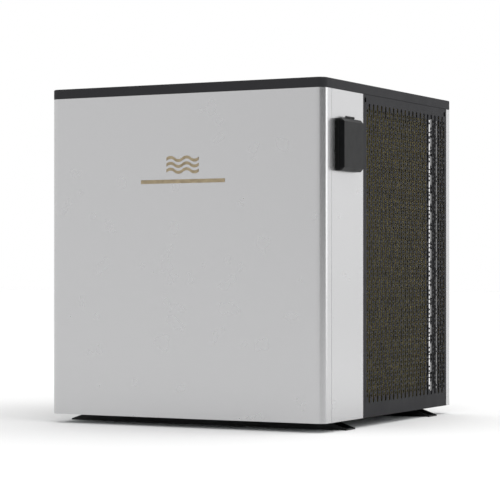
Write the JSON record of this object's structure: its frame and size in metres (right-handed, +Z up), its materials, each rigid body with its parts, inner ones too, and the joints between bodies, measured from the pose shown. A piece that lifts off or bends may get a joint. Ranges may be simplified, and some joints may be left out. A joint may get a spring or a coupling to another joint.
{
  "type": "pool and spa heat pump unit",
  "caption": "Free-standing box-shaped pool heat pump with perforated coil sides, a fan in its lid, water unions on one side and a flip-cover controller on the other.",
  "frame": {"origin": "on the floor, at the centre of the four anchor slots, under the middle of the casing", "axes": "+Z up; the plain front panel faces -Y; the controller is on the +X side and the water unions on -X"},
  "size_m": [0.821, 0.7632, 0.8317],
  "materials": {
    "silver_panel": "satin powder coat",
    "grey_panel": "satin powder coat",
    "galvanised": "zinc-coated sheet",
    "black_steel": "black coat",
    "screw_steel": "zinc plated",
    "coil_fin": "gold hydrophilic coating",
    "copper_tube": "drawn copper",
    "brass_body": "machined",
    "fan_plastic": "moulded",
    "motor_paint": "satin black",
    "guard_wire": "dip coated",
    "compressor_paint": "baked black paint",
    "rubber": "moulded",
    "exchanger_pvc": "moulded PVC",
    "dark_pvc": "moulded PVC",
    "titanium": "drawn tube",
    "board": "circuit board",
    "heat_sink": "extruded",
    "terminal_plastic": "moulded nylon",
    "black_plastic": "moulded ABS",
    "cover_plastic": "moulded ABS",
    "display": "tinted window",
    "badge_metal": "bronze lacquer"
  },
  "bodies": {
    "casing": {"base_tray": "galvanised", "foot_rail_front": "black_steel", "foot_rail_rear": "black_steel", "base_bolts": "screw_steel", "front_panel": "silver_panel", "side_panel_right": "silver_panel", "side_panel_left": "silver_panel", "side_grille_right": "grey_panel", "side_grille_left": "grey_panel", "rear_grille": "grey_panel", "corner_post_right": "silver_panel", "corner_post_left": "silver_panel", "partition_panel": "galvanised", "top_lid": "grey_panel", "casing_screws": "screw_steel", "badge": "badge_metal", "orifice_ring": "galvanised", "motor_bracket": "galvanised", "motor_body": "motor_paint", "fan_guard": "guard_wire", "coil_fins": "coil_fin", "coil_end_plates": "galvanised", "coil_return_bends": "copper_tube", "suction_header": "copper_tube", "distributor": "brass_body", "compressor": "compressor_paint", "compressor_mounts": "rubber", "compressor_terminal_cover": "black_plastic", "accumulator": "compressor_paint", "reversing_valve": "brass_body", "refrigerant_pipes": "copper_tube", "filter_drier": "copper_tube", "expansion_valve": "brass_body", "exchanger_shell": "exchanger_pvc", "exchanger_caps": "exchanger_pvc", "exchanger_coil": "titanium", "water_pipes": "dark_pvc", "union_tails": "dark_pvc", "union_nuts": "dark_pvc", "union_seals": "rubber", "pressure_switch": "brass_body", "electrical_box": "galvanised", "electrical_box_cover": "galvanised", "control_board": "board", "heat_sink": "heat_sink", "terminal_block": "terminal_plastic", "cable_gland": "black_plastic", "drain_spigot": "black_plastic", "controller_housing": "black_plastic", "hinge_pin": "screw_steel", "controller_module": "black_plastic", "display_window": "display"},
    "fan": {"fan_rotor": "fan_plastic", "fan_nut": "screw_steel", "motor_shaft": "screw_steel"},
    "cover": {"controller_cover": "cover_plastic"},
    "button_power": {"button_power": "rubber"},
    "button_mode": {"button_mode": "rubber"},
    "button_down": {"button_down": "rubber"},
    "button_up": {"button_up": "rubber"}
  },
  "joints": [
    {"name": "fan_spin", "type": "hinge", "parent": "casing", "child": "fan", "pos_m": [0, 0.08, 0.774], "axis": [0, 0, 1], "continuous": true},
    {"name": "cover_hinge", "type": "hinge", "parent": "casing", "child": "cover", "pos_m": [0.38515, -0.2623, 0.7342], "axis": [0, -1, 0], "range_deg": [0, 110]},
    {"name": "button_power_press", "type": "slide", "parent": "casing", "child": "button_power", "axis": [-1, 0, 0], "range_m": [0, 0.0008], "stiffness_N_per_m": 500},
    {"name": "button_mode_press", "type": "slide", "parent": "casing", "child": "button_mode", "axis": [-1, 0, 0], "range_m": [0, 0.0008], "stiffness_N_per_m": 500},
    {"name": "button_down_press", "type": "slide", "parent": "casing", "child": "button_down", "axis": [-1, 0, 0], "range_m": [0, 0.0008], "stiffness_N_per_m": 500},
    {"name": "button_up_press", "type": "slide", "parent": "casing", "child": "button_up", "axis": [-1, 0, 0], "range_m": [0, 0.0008], "stiffness_N_per_m": 500}
  ]
}
